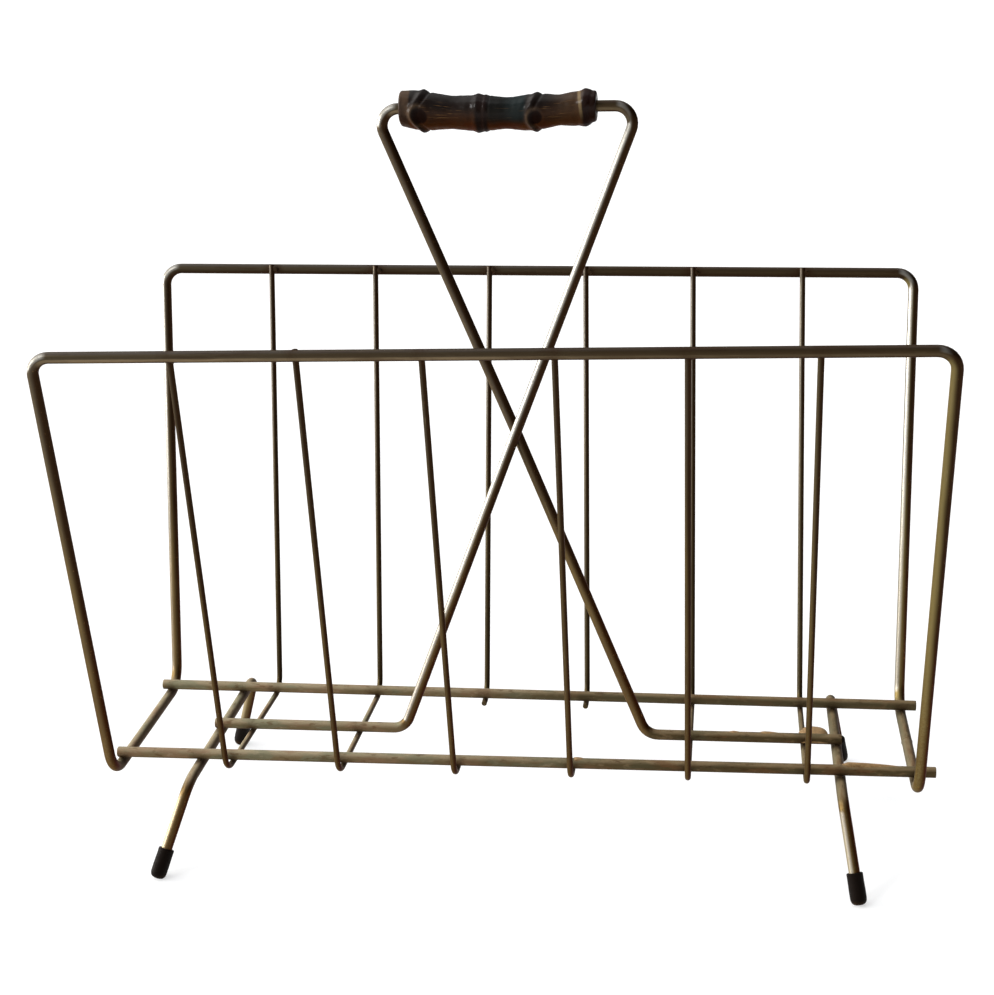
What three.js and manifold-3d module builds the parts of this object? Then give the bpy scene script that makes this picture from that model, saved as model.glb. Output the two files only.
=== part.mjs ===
// A magazine rack of bent and welded wire. Two leaning walls and a floor of wire make an open
// trough, a crossed wire handle stands in its middle and divides it into two pockets, and a
// loose bamboo grip turns on the top bar of the handle. Four splayed legs wear rubber caps.
//
// Lengths are in millimetres. X runs along the rack, Y from front to rear and Z up. The origin
// is on the ground under the middle of the rack.

import * as THREE from "three";
import { mergeVertices } from "three/addons/utils/BufferGeometryUtils.js";
import Module from "manifold-3d";

const wasm = await Module();
wasm.setup();

// Driving sizes. A wire's size is its diameter, and a bend's size is the radius of the
// wire's centre line. Depths and lengths of bent pieces are taken between the points where
// their straight runs would meet if the bends were sharp.

const frameWire = 5.4;
const basketWire = 3;
const weldGap = 0.3; // left open where two pieces are welded or seated
const legHeight = 44.3; // from the ground to the centre of the lowest wires

const floorRailSpacing = 85;
const floorRailOverhang = 5.4; // past the floor crossings of the rim, at each end

const rimLength = 400;
const rimFloorLength = 393;
const rimDepth = 208;
const rimOutset = 13.8; // from a floor rail out to the rim's lower corners
const rimFloorDepth = floorRailSpacing + 2 * rimOutset;
const rimHeight = 223.2; // from the lowest wires to the top rails
const rimTopBend = 8.5;
const rimFloorBend = 15.5;
const seamPlace = 7; // how far behind the middle the loop's two ends meet

const wireEndSpace = 59.1; // from an arm of the rim to the first basket wire, at the top
const wireFloorEndSpace = 55.3; // the same at the floor
const wireOutset = 9.5; // from a floor rail out to the basket wires' lower corners
const wireFloorDepth = floorRailSpacing + 2 * wireOutset;
const wireFloorBend = 10.5;
const wireRearRise = 2.1; // how far a basket wire reaches past the centre of the rear top rail
const hookReach = 3.4; // how far a hooked wire runs on past the centre of its floor rail

const footInset = 38; // from the floor crossings of the rim to the foot wires
const footBendDepth = 130.6;
const footBend = 12;
const toeSplay = 11; // how far each toe stands out sideways from the bend above it
const frontToeReach = 19.6; // how far each front toe stands out to the front
const rearToeReach = 12; // how far each rear toe stands out to the rear

const capDiameter = 7.8;
const capLength = 15;
const capFloor = 2.4; // rubber left under the end of the wire
const capRound = 2.5; // rounding of the lower edge
const capLip = 0.35; // rounding of the open edge
const capWear = 0.6; // depth of the flat that standing has worn on the lower edge

const handleHeight = 317.8; // from the lowest wires to the centre of the top bar
const handleTopWidth = 125.4;
const handleFloorWidth = 123.4;
const handleTopBend = 8;
const handleFloorBend = 9;
const handleWaistBend = 240; // the slight bow by which the two legs pass each other
const handleOverhang = 2; // past the centre of the foot wire, at each end

const gripLength = 92;
const gripDiameter = 20; // over its largest node
const gripPlay = 0.4; // between the bore and the wire, all round
const gripBow = 2.7; // how far the middle of the root hangs below a straight line
const gripSlide = -3.5; // the grip has slid this far from the middle of the bar
const gripEdge = 0.9; // rounding at both ends

// The rack was bent and welded by eye. These are its departures from an even one: shifts to
// the right and to the rear of where each piece would belong, and a slight racking of the
// whole basket, which lifts one end of each top rail and lowers the other.

const rimShift = -1.5;
const rimTwist = 2;
const frontRailShift = 2.3;
const rearRailShift = 0.5;
const wireShift = 1.5;
const footShift = 1;
const footSetback = 3;
const toeShift = -2;
const handleShift = 2.7;
const handleTopShift = -0.4;
const handleEndShift = 1.4;
const handleSetback = -5.3;
const handleTopSetback = -0.2;
const topBarSkew = 0.7; // the left end of the top bar stands this much behind its middle

// How far each basket wire stands to the right of its even place, and how far its front end
// reaches past the centre of the top rail.
const wireDrift = {
  1: { frontTop: -0.2, frontFloor: -1.4, rearFloor: 0.9, rearTop: -2, frontRise: -0.8 },
  2: { frontTop: 0, frontFloor: -1.3, rearFloor: 0.3, rearTop: -1.6, frontRise: 0.9 },
  3: { frontTop: -0.8, frontFloor: -0.2, rearFloor: 2.6, rearTop: 3.6, frontRise: -0.8 },
  4: { frontTop: 0.5, frontFloor: 0.2, rearFloor: 0.4, rearTop: -1.5, frontRise: -0.2 },
  5: { frontTop: 0.9, frontFloor: 0.3, rearFloor: 0, rearTop: -1.5, frontRise: -0.8 },
  6: { frontTop: 0.2, frontFloor: 0.5, rearFloor: 0.2, rearTop: -1.2, frontRise: -0.8 },
};
const wireCount = Object.keys(wireDrift).length;

// Finishes.

const agedBrass = new THREE.MeshStandardMaterial({
  name: "aged_brass",
  color: 0x6e5b3a,
  roughness: 0.42,
  metalness: 0.9,
});
const blackRubber = new THREE.MeshStandardMaterial({
  name: "black_rubber",
  color: 0x17130f,
  roughness: 0.62,
  metalness: 0,
});
const darkBamboo = new THREE.MeshStandardMaterial({
  name: "dark_bamboo",
  color: 0x2a1a12,
  roughness: 0.35,
  metalness: 0,
});

// How finely round things are cut into flat faces.

const frameWireSides = 12;
const basketWireSides = 10;
const capSides = 20;
const gripSides = 24;
const bendStep = Math.PI / 15;

const unitX = new THREE.Vector3(1, 0, 0);
const unitY = new THREE.Vector3(0, 1, 0);
const unitZ = new THREE.Vector3(0, 0, 1);

// A point of the basket. Heights are measured from the centre of the lowest wires, and the
// racking of the basket moves the point up or down by its place.
function point(x, y, z) {
  const racking = (rimTwist * x * y) / ((rimLength / 2) * (rimDepth / 2));
  return new THREE.Vector3(x, y, z - racking);
}

function direction(from, to) {
  return to.clone().sub(from).normalize();
}

// The centre line of a bent wire: straight runs joined by round bends. An extrusion asks its
// path for points and for a frame at each of them. A wire needs sections only where it bends,
// so this path answers with its own stations, which are its two ends and the sections of every
// bend, and carries the frame from one station to the next without twist.
class WirePath extends THREE.Curve {
  constructor(corners, bendRadii) {
    super();
    this.points = [corners[0].clone()];
    this.tangents = [direction(corners[0], corners[1])];
    for (let i = 1; i < corners.length - 1; i++) {
      this.addBend(corners[i - 1], corners[i], corners[i + 1], bendRadii[i - 1]);
    }
    const last = corners.length - 1;
    this.points.push(corners[last].clone());
    this.tangents.push(direction(corners[last - 1], corners[last]));
  }

  addBend(before, corner, after, radius) {
    const incoming = direction(before, corner);
    const outgoing = direction(corner, after);
    const turn = incoming.angleTo(outgoing);
    const axis = incoming.clone().cross(outgoing).normalize();
    const start = corner.clone().addScaledVector(incoming, -radius * Math.tan(turn / 2));
    const inward = axis.clone().cross(incoming);
    const centre = start.clone().addScaledVector(inward, radius);
    const steps = Math.ceil(turn / bendStep);
    for (let k = 0; k <= steps; k++) {
      const angle = (turn * k) / steps;
      const arm = start.clone().sub(centre).applyAxisAngle(axis, angle);
      this.points.push(centre.clone().add(arm));
      this.tangents.push(incoming.clone().applyAxisAngle(axis, angle));
    }
  }

  getSpacedPoints() {
    return this.points.map((station) => station.clone());
  }

  computeFrenetFrames() {
    const [first] = this.tangents;
    const side = Math.abs(first.x) < Math.abs(first.z) ? unitX : unitZ;
    const normals = [side.clone().cross(first).normalize()];
    for (let i = 1; i < this.tangents.length; i++) {
      const turn = new THREE.Quaternion();
      turn.setFromUnitVectors(this.tangents[i - 1], this.tangents[i]);
      normals.push(normals[i - 1].clone().applyQuaternion(turn));
    }
    const binormals = this.tangents.map((tangent, i) => tangent.clone().cross(normals[i]));
    return { tangents: this.tangents, normals, binormals };
  }
}

function namedMesh(name, geometry, material) {
  const mesh = new THREE.Mesh(geometry, material);
  mesh.name = name;
  return mesh;
}

// A wire of one diameter along its corners, with its ends cut square.
function bentWire(name, corners, bendRadii, diameter, sides) {
  const outline = [];
  for (let i = 0; i < sides; i++) {
    const angle = (2 * Math.PI * i) / sides;
    const radius = diameter / 2;
    outline.push(new THREE.Vector2(radius * Math.cos(angle), radius * Math.sin(angle)));
  }
  const extrudePath = new WirePath(corners, bendRadii);
  const steps = extrudePath.points.length - 1;
  const geometry = new THREE.ExtrudeGeometry(new THREE.Shape(outline), { extrudePath, steps });
  return namedMesh(name, geometry, agedBrass);
}

function frameWirePiece(name, corners, bendRadii) {
  return bentWire(name, corners, bendRadii, frameWire, frameWireSides);
}

function basketWirePiece(name, corners, bendRadii) {
  return bentWire(name, corners, bendRadii, basketWire, basketWireSides);
}

// A geometry as a solid that can be cut, and back again.

function solidFrom(geometry) {
  const bare = geometry.clone();
  bare.deleteAttribute("normal");
  bare.deleteAttribute("uv");
  const merged = mergeVertices(bare);
  return new wasm.Manifold(
    new wasm.Mesh({
      numProp: 3,
      vertProperties: merged.attributes.position.array,
      triVerts: new Uint32Array(merged.index.array),
    }),
  );
}

function geometryFrom(solid) {
  const mesh = solid.getMesh();
  const geometry = new THREE.BufferGeometry();
  geometry.setAttribute("position", new THREE.BufferAttribute(mesh.vertProperties, 3));
  geometry.setIndex(new THREE.BufferAttribute(mesh.triVerts, 1));
  return geometry;
}

// Heights above the lowest wires. The floor rails and the handle lie on the rim and on the
// foot wires, and the thin basket wires pass under the floor rails.

const railRise = frameWire + weldGap;
const wireRise = railRise - (frameWire + basketWire) / 2 - weldGap;

// The rim: one loop of wire that is two top rails, four leaning arms and the two floor
// crossings at the ends. Its own ends meet in a butt joint on the right floor crossing.
function makeRim() {
  const topLeft = rimShift - rimLength / 2;
  const topRight = rimShift + rimLength / 2;
  const floorLeft = rimShift - rimFloorLength / 2;
  const floorRight = rimShift + rimFloorLength / 2;
  const topY = rimDepth / 2;
  const floorY = rimFloorDepth / 2;
  const corners = [
    point(floorRight, seamPlace + weldGap / 2, 0),
    point(floorRight, floorY, 0),
    point(topRight, topY, rimHeight),
    point(topLeft, topY, rimHeight),
    point(floorLeft, floorY, 0),
    point(floorLeft, -floorY, 0),
    point(topLeft, -topY, rimHeight),
    point(topRight, -topY, rimHeight),
    point(floorRight, -floorY, 0),
    point(floorRight, seamPlace - weldGap / 2, 0),
  ];
  const wallBends = [rimFloorBend, rimTopBend, rimTopBend, rimFloorBend];
  return frameWirePiece("rim_frame", corners, [...wallBends, ...wallBends]);
}

// A floor rail: a straight wire laid across the floor crossings, inside the bends. side is
// -1 at the front and 1 at the rear.
function makeFloorRail(name, side, shift) {
  const y = (side * floorRailSpacing) / 2;
  const reach = rimFloorLength / 2 + floorRailOverhang;
  const corners = [point(shift - reach, y, railRise), point(shift + reach, y, railRise)];
  return frameWirePiece(name, corners, []);
}

// Basket wires are numbered from the left. Evenly placed, they divide the length between the
// outer two alike.

function evenX(number, length, endSpace) {
  const pitch = (length - 2 * endSpace) / (wireCount - 1);
  return wireShift + (number - (wireCount + 1) / 2) * pitch;
}

function topX(number, side) {
  const { frontTop, rearTop } = wireDrift[number];
  return evenX(number, rimLength, wireEndSpace) + (side < 0 ? frontTop : rearTop);
}

// The floor corner of a basket wire: where its wall run and its floor run would meet.
function floorCorner(number, side) {
  const { frontFloor, rearFloor } = wireDrift[number];
  const even = evenX(number, rimFloorLength, wireFloorEndSpace);
  const x = even + (side < 0 ? frontFloor : rearFloor);
  return point(x, (side * wireFloorDepth) / 2, wireRise);
}

// The upper end of a basket wire. The wire leans out from its floor corner until it just
// passes inside the top rail, where it is welded.
function topEnd(number, side) {
  const floorY = wireFloorDepth / 2;
  const outward = rimDepth / 2 - floorY;
  const upward = rimHeight - wireRise;
  const toRail = Math.hypot(outward, upward);
  const offset = (frameWire + basketWire) / 2 + weldGap;
  const lean = Math.atan2(outward, upward) - Math.asin(offset / toRail);
  const rise = side < 0 ? wireDrift[number].frontRise : wireRearRise;
  const reach = Math.sqrt(toRail ** 2 - offset ** 2) + rise;
  const y = floorY + reach * Math.sin(lean);
  return point(topX(number, side), side * y, wireRise + reach * Math.cos(lean));
}

// A wire bent into a U: down the front wall, across the floor and up the rear wall.
function makeThroughWire(number) {
  const corners = [
    topEnd(number, -1),
    floorCorner(number, -1),
    floorCorner(number, 1),
    topEnd(number, 1),
  ];
  return basketWirePiece(`basket_wire_${number}`, corners, [wireFloorBend, wireFloorBend]);
}

// A wire of one wall only, which ends in a short hook under its floor rail.
function makeHookedWire(name, number, side) {
  const corner = floorCorner(number, side);
  const hookEnd = point(corner.x, side * (floorRailSpacing / 2 - hookReach), wireRise);
  return basketWirePiece(name, [topEnd(number, side), corner, hookEnd], [wireFloorBend]);
}

// A foot wire crosses under the floor from front to rear and turns down into two splayed
// legs. side is -1 on the left and 1 on the right, end is -1 at the front and 1 at the rear.

const footX = rimFloorLength / 2 - footInset;

function footCorner(side, end) {
  return point(footShift + side * footX, footSetback + (end * footBendDepth) / 2, 0);
}

function legDirection(side, end) {
  const x = side * (footX + toeSplay) + toeShift;
  const toeReach = end < 0 ? frontToeReach : rearToeReach;
  const y = footSetback + end * (footBendDepth / 2 + toeReach);
  return direction(footCorner(side, end), new THREE.Vector3(x, y, -legHeight));
}

// How far down its leg a cap's lower end lies. A tilted cap meets the ground with its rounded
// lower edge, and the worn flat lets it sink by the wear.
function legLength(side, end) {
  const tilt = legDirection(side, end).angleTo(unitZ.clone().negate());
  const edgeDrop = (capDiameter / 2 - capRound) * Math.sin(tilt);
  const roundDrop = capRound * (1 - Math.cos(tilt));
  const fall = legHeight + footCorner(side, end).z - edgeDrop - roundDrop + capWear;
  return fall / Math.cos(tilt);
}

function makeFootWire(name, side) {
  const tips = [-1, 1].map((end) => {
    const length = legLength(side, end) - capFloor - weldGap;
    return footCorner(side, end).addScaledVector(legDirection(side, end), length);
  });
  const corners = [tips[0], footCorner(side, -1), footCorner(side, 1), tips[1]];
  return frameWirePiece(name, corners, [footBend, footBend]);
}

// A rubber cap: a round cup on the end of a leg, cut flat where it stands on the ground.
function makeCap(name, side, end) {
  const radius = capDiameter / 2;
  const bore = frameWire / 2 + weldGap;
  const outline = new THREE.Path();
  outline.moveTo(0, 0);
  outline.lineTo(radius - capRound, 0);
  outline.absarc(radius - capRound, capRound, capRound, -Math.PI / 2, 0);
  outline.absarc(radius - capLip, capLength - capLip, capLip, 0, Math.PI / 2);
  outline.lineTo(bore, capLength);
  outline.lineTo(bore, capFloor);
  outline.lineTo(0, capFloor);
  const cup = new THREE.LatheGeometry(outline.getPoints(5), capSides);
  const leg = legDirection(side, end);
  const turn = new THREE.Quaternion().setFromUnitVectors(unitY, leg.clone().negate());
  const base = footCorner(side, end).addScaledVector(leg, legLength(side, end));
  cup.applyQuaternion(turn);
  cup.translate(base.x, base.y, base.z);
  const ground = new THREE.BoxGeometry(capLength, capLength, capLength);
  ground.translate(base.x, base.y, -legHeight - capLength / 2);
  const worn = solidFrom(cup).subtract(solidFrom(ground));
  return namedMesh(name, geometryFrom(worn), blackRubber);
}

// The handle: one wire that lies along the floor, climbs across to the far top corner, runs
// through the grip and comes down the other way. Where its two legs cross they are bowed
// apart, the leg from the lower left in front.

const handlePass = (frameWire + weldGap) / 2;
const barLeft = point(
  handleTopShift - handleTopWidth / 2,
  handleTopSetback + topBarSkew,
  handleHeight,
);
const barRight = point(
  handleTopShift + handleTopWidth / 2,
  handleTopSetback - topBarSkew,
  handleHeight,
);

function makeHandle() {
  const endX = footX + handleOverhang;
  const footLeft = point(handleShift - handleFloorWidth / 2, handleSetback, railRise);
  const footRight = point(handleShift + handleFloorWidth / 2, handleSetback, railRise);
  const waist = footLeft.clone().add(footRight).add(barLeft).add(barRight);
  waist.multiplyScalar(1 / 4);
  const corners = [
    point(handleEndShift - endX, handleSetback, railRise),
    footLeft,
    waist.clone().addScaledVector(unitY, -handlePass),
    barRight,
    barLeft,
    waist.clone().addScaledVector(unitY, handlePass),
    footRight,
    point(handleEndShift + endX, handleSetback, railRise),
  ];
  const legBends = [handleFloorBend, handleWaistBend, handleTopBend];
  return frameWirePiece("handle_wire", corners, [...legBends, ...legBends.toReversed()]);
}

// The grip is a length of bamboo root, drilled straight through. Its outline swells at four
// nodes and it is slightly bowed, so it hangs with its middle down. Both tables are shares:
// places of the length, widths of the diameter over the largest node.

const gripPlaceShares = [
  0.0, 0.06, 0.105, 0.125, 0.15, 0.27, 0.385, 0.41, 0.435, 0.555, 0.67, 0.695, 0.72, 0.805,
  0.93, 0.955, 0.975, 1.0,
];
const gripWidthShares = [
  0.8, 0.88, 0.97, 1.0, 0.92, 0.75, 0.85, 0.9, 0.84, 0.725, 0.85, 0.9, 0.83, 0.715, 0.81,
  0.855, 0.78, 0.66,
];

function makeGrip() {
  const halfLength = gripLength / 2;
  const swells = gripPlaceShares.map((place, i) => {
    const radius = (gripWidthShares[i] * gripDiameter) / 2;
    return new THREE.Vector2(radius, (place - 0.5) * (gripLength - 2 * gripEdge));
  });
  const skin = new THREE.SplineCurve(swells).getPoints(2 * swells.length);
  const profile = [
    new THREE.Vector2(0, -halfLength),
    new THREE.Vector2(skin[0].x - gripEdge, -halfLength),
    ...skin,
    new THREE.Vector2(skin[skin.length - 1].x - gripEdge, halfLength),
    new THREE.Vector2(0, halfLength),
  ];
  const root = new THREE.LatheGeometry(profile, gripSides);
  const place = root.attributes.position;
  for (let i = 0; i < place.count; i++) {
    const share = place.getY(i) / halfLength;
    place.setZ(i, place.getZ(i) - gripBow * (1 - share ** 2));
  }
  const boreRadius = frameWire / 2 + gripPlay;
  const bore = new THREE.CylinderGeometry(boreRadius, boreRadius, 2 * gripLength, gripSides);
  const drilled = solidFrom(root).subtract(solidFrom(bore));
  const grip = namedMesh("bamboo_grip", geometryFrom(drilled), darkBamboo);
  const along = direction(barLeft, barRight);
  grip.quaternion.setFromUnitVectors(unitY, along);
  grip.position.copy(barLeft).add(barRight).divideScalar(2);
  grip.position.addScaledVector(along, gripSlide);
  return grip;
}

// The assembly. Everything is drawn from the height of the lowest wires, so the group stands
// one leg height above the ground.

const rack = new THREE.Group();
rack.name = "magazine_rack";
rack.position.z = legHeight;
rack.add(makeRim());
rack.add(makeFloorRail("floor_rail_front", -1, frontRailShift));
rack.add(makeFloorRail("floor_rail_rear", 1, rearRailShift));
for (const number of [1, 2, 5, 6]) {
  rack.add(makeThroughWire(number));
}
for (const number of [3, 4]) {
  rack.add(makeHookedWire(`front_wire_${number}`, number, -1));
  rack.add(makeHookedWire(`rear_wire_${number}`, number, 1));
}
for (const [sideName, side] of [["left", -1], ["right", 1]]) {
  rack.add(makeFootWire(`foot_wire_${sideName}`, side));
  for (const [endName, end] of [["front", -1], ["rear", 1]]) {
    rack.add(makeCap(`foot_cap_${endName}_${sideName}`, side, end));
  }
}
rack.add(makeHandle());
rack.add(makeGrip());

export default rack;
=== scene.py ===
# %% [markdown]
# # A wire magazine rack
# The rack is bent and welded from steel wire of two gauges, plated in brass and darkened by
# age. A piece of bamboo root turns on the top bar of its handle, and its four feet wear
# rubber caps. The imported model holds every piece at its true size, with few flat faces. This
# lesson builds them again round and smooth on the same centre lines, adds the welds, and
# gives each a finish made of nodes alone.

# %% Load the frame
from itertools import combinations
from math import cos, exp, hypot, pi, radians, sin

import bmesh
import bpy
import numpy as np
from mathutils import Matrix, Vector, noise


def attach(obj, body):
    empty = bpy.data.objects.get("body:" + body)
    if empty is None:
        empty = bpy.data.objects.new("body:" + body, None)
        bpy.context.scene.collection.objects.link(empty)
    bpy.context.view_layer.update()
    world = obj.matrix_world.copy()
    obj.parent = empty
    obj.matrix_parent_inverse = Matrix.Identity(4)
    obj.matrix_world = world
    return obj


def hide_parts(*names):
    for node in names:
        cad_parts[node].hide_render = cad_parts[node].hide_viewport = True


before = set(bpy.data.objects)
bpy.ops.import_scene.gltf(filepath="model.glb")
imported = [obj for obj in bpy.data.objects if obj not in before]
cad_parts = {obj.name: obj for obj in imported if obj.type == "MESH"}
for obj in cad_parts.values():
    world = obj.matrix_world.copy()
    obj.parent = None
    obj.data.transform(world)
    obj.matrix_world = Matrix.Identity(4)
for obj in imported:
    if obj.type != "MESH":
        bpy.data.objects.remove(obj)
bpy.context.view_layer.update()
MM = 0.001

# %% [markdown]
# ## The camera
# The photograph was taken from a little right of the middle, standing up, with the camera
# tipped down and turned a hair clockwise. Its place and lens were solved from the straight
# wires in the picture, so the camera is built from that place and from three turns.

# %% Set the camera
EYE = Vector((106.06, -878.88, 437.24)) * MM
YAW, PITCH, ROLL = radians(7.471), radians(16.627), radians(1.48)
FOCAL_PX = 1870.78
FRAME_PX = 995

ahead = Vector((-sin(YAW) * cos(PITCH), cos(YAW) * cos(PITCH), -sin(PITCH)))
level = Vector((cos(YAW), sin(YAW), 0))
below = ahead.cross(level)
right = cos(ROLL) * level + sin(ROLL) * below
down = -sin(ROLL) * level + cos(ROLL) * below


def add_object(name, data):
    """A new object of the scene."""
    added = bpy.data.objects.new(name, data)
    bpy.context.scene.collection.objects.link(added)
    return added


lens = bpy.data.cameras.new("camera")
lens.sensor_width = 36
lens.lens = FOCAL_PX * lens.sensor_width / FRAME_PX
camera = add_object("camera", lens)
camera.matrix_world = Matrix.Translation(EYE) @ Matrix((right, -down, -ahead)).transposed().to_4x4()
bpy.context.scene.camera = camera
bpy.context.scene.view_settings.view_transform = "Standard"
print("lens", round(lens.lens, 1), "mm, eye", [round(c, 3) for c in EYE], "m")

# %% [markdown]
# ## Writing shaders as sums
# A node tree is arithmetic, so it reads best as arithmetic. The class below holds one output
# socket. Adding, subtracting or multiplying two of them adds the matching Math node. Colours
# are blended with a Mix node, because a Math node would turn them grey. Every other node
# comes from the one method `node`, which takes its type, its settings and its inputs.

# %% A socket that can be calculated with
class Socket:
    def __init__(self, tree, output):
        self.tree = tree
        self.output = output

    def node(self, kind, settings=None, output=0, **inputs):
        return make_node(self.tree, kind, settings, output, **inputs)

    def math(self, operation, *values):
        added = self.tree.nodes.new("ShaderNodeMath")
        added.operation = operation
        for slot, value in zip(added.inputs, values):
            feed(self.tree, slot, value)
        return Socket(self.tree, added.outputs[0])

    def __add__(self, other):
        return self.math("ADD", self, other)

    def __sub__(self, other):
        return self.math("SUBTRACT", self, other)

    def __mul__(self, other):
        return self.math("MULTIPLY", self, other)

    def __radd__(self, other):
        return self.math("ADD", other, self)

    def __rsub__(self, other):
        return self.math("SUBTRACT", other, self)

    def __rmul__(self, other):
        return self.math("MULTIPLY", other, self)

    def __abs__(self):
        return self.math("ABSOLUTE", self)

    def or_more(self, other):
        """The larger of this value and another."""
        return self.math("MAXIMUM", self, other)

    def between(self, low, high):
        """0 below low, 1 above high and smooth in between."""
        limits = {"From Min": low, "From Max": high}
        return self.node("MapRange", {"interpolation_type": "SMOOTHSTEP"}, Value=self, **limits)

    def tint(self, start, end):
        """A colour that runs from start to end as this value goes from 0 to 1."""
        return self.node("Mix", {"data_type": "RGBA"}, 2, Factor=self, A=start, B=end)

    def bump(self, strength, depth):
        """Normals that tilt as if this value were a height, 1 being depth metres."""
        return self.node("Bump", Strength=strength, Distance=depth, Height=self)

    def part(self, index):
        """One part of this vector: 0 is x, 1 is y and 2 is z."""
        return self.node("SeparateXYZ", output=index, Vector=self)

    def vector_math(self, operation, output=0, **inputs):
        return self.node("VectorMath", {"operation": operation}, output, Vector=self, **inputs)

    def scaled(self, x, y, z):
        """This vector with each of its parts multiplied."""
        return self.vector_math("MULTIPLY", Vector_2=(x, y, z))

    def length(self):
        return self.vector_math("LENGTH", 1)

    def towards(self, way):
        """How far this vector reaches in the direction of way."""
        return self.vector_math("DOT_PRODUCT", 1, Vector_2=Vector(way).normalized())

    def noise(self, size, detail=2, rough=0.5):
        """Soft random values from 0 to 1, whose spots are about size metres wide."""
        return self.node("TexNoise", Vector=self, Scale=1 / size, Detail=detail, Roughness=rough)


# %% Add nodes and start finishes
def feed(tree, slot, value):
    """Gives an input socket its value, or a link if the value is a Socket."""
    if isinstance(value, Socket):
        tree.links.new(value.output, slot)
    elif slot.type == "RGBA":
        slot.default_value = (*value, 1)
    else:
        slot.default_value = value


def make_node(tree, kind, settings=None, output=0, **inputs):
    """A new node. An input whose name ends in _2 is the second of that name."""
    added = tree.nodes.new("ShaderNode" + kind)
    for name, value in (settings or {}).items():
        setattr(added, name, value)
    for name, value in inputs.items():
        name, second = (name[:-2], 1) if name.endswith("_2") else (name, 0)
        wanted = name.replace("_", " ")
        same = [slot for slot in added.inputs if slot.enabled and slot.name == wanted]
        feed(tree, same[second], value)
    return Socket(tree, added.outputs[output])


def feed_shader(finish, **values):
    """Feeds sockets of a finish's shader. In their names here _ stands for a space."""
    shader = finish.node_tree.nodes["Principled BSDF"]
    for name, value in values.items():
        feed(finish.node_tree, shader.inputs[name.replace("_", " ")], value)


def new_finish(name, **constants):
    """A material and its nodes, with the constants set on its shader's own sockets."""
    finish = bpy.data.materials.new(name)
    finish.use_nodes = True
    feed_shader(finish, **constants)
    return finish, finish.node_tree


def rgb(red, green, blue):
    """A colour as it is read on a screen, 0 to 255, turned to the linear values of a shader."""
    shares = [channel / 255 for channel in (red, green, blue)]
    return tuple(s / 12.92 if s <= 0.04045 else ((s + 0.055) / 1.055) ** 2.4 for s in shares)


def painted(colour, *layers):
    """A colour with layers of paint on it, each given as a mask, its strength and its colour."""
    for mask, strength, over in layers:
        colour = (mask * strength).tint(colour, over)
    return colour


print("mid grey in a shader is", [round(share, 3) for share in rgb(128, 128, 128)])

# %% [markdown]
# ## The room
# A plain pale floor runs to the horizon and shows the rack's shadow. A diffuse ray finds it
# dark, so it doesn't light the wires from below, and they keep the dark undersides that the
# photograph shows. To the eye and in a mirror it is white, and so is the lowest part of the
# sky. Above that the sky is pale towards the window, grey overhead and dim elsewhere, because
# old brass looks like metal only where it has something dark to mirror.

# %% Lay the floor
FLOOR_REACH = 60
floor_data = bpy.data.meshes.new("floor")
floor_corners = [(-1, -1, 0), (1, -1, 0), (1, 1, 0), (-1, 1, 0)]
floor_data.from_pydata([Vector(c) * FLOOR_REACH for c in floor_corners], [], [(0, 1, 2, 3)])
floor = add_object("floor", floor_data)
print("floor", 2 * FLOOR_REACH, "m wide")

# %% Paint the floor and the sky
DIM_FLOOR, PALE_FLOOR, FLOOR_GLOW = (0.12, 0.11, 0.1), (0.5, 0.5, 0.5), (0.58, 0.58, 0.58)
BLACK, WHITE = (0, 0, 0), (1, 1, 1)
DIM_WALL, WINDOW_SKY, CEILING = (0.045, 0.04, 0.036), (0.95, 0.93, 0.88), (0.34, 0.36, 0.4)
TO_WINDOW = (-0.82, -0.45, 0.3)
# The places of Is Camera Ray, Is Glossy Ray and Is Transmission Ray among the outputs.
BACKGROUND_RAYS = (0, 3, 6)


def background_rays(tree):
    """1 for the rays that show the background, straight, mirrored or through glass."""
    straight, mirrored, through = (make_node(tree, "LightPath", output=i) for i in BACKGROUND_RAYS)
    return mirrored.or_more(through).or_more(straight)


floor_finish, tree = new_finish(
    "pale_floor", Roughness=1.0, Specular_IOR_Level=0.0, Emission_Strength=1.0)
floor_data.materials.append(floor_finish)
seen = background_rays(tree)
feed_shader(floor_finish, Base_Color=seen.tint(DIM_FLOOR, PALE_FLOOR),
            Emission_Color=seen.tint(BLACK, FLOOR_GLOW))

world = bpy.data.worlds.new("room")
bpy.context.scene.world = world
world.use_nodes = True
direction = make_node(world.node_tree, "TexCoord")
overhead = direction.part(2)
room_light = direction.towards(TO_WINDOW).between(-0.25, 0.85).tint(DIM_WALL, WINDOW_SKY)
room_light = overhead.between(0.35, 0.95).tint(room_light, CEILING)
low_sky = background_rays(world.node_tree) * overhead.between(0.2, 0.08)
room_light = low_sky.tint(room_light, WHITE)
feed(world.node_tree, world.node_tree.nodes["Background"].inputs["Color"], room_light)
print("the sky takes", len(world.node_tree.nodes), "nodes")

# %% [markdown]
# Four lamps stand too far away to fade: a wide one low at the left, where the photograph's
# window was, a wider one above it, a small one for glints on the bends and the grip, and a
# soft one overhead and behind for the sheen of the level wires.

# %% Hang the lamps
def soft_sun(name, towards, spread, strength, colour):
    """A lamp too far away to fade. towards points at it and spread is its width in degrees."""
    data = bpy.data.lights.new(name, "SUN")
    data.angle = radians(spread)
    data.energy = strength
    data.color = colour
    lamp = add_object(name, data)
    lamp.rotation_euler = Vector(towards).to_track_quat("Z", "Y").to_euler()
    print("lamp", name, "of strength", strength)


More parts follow.
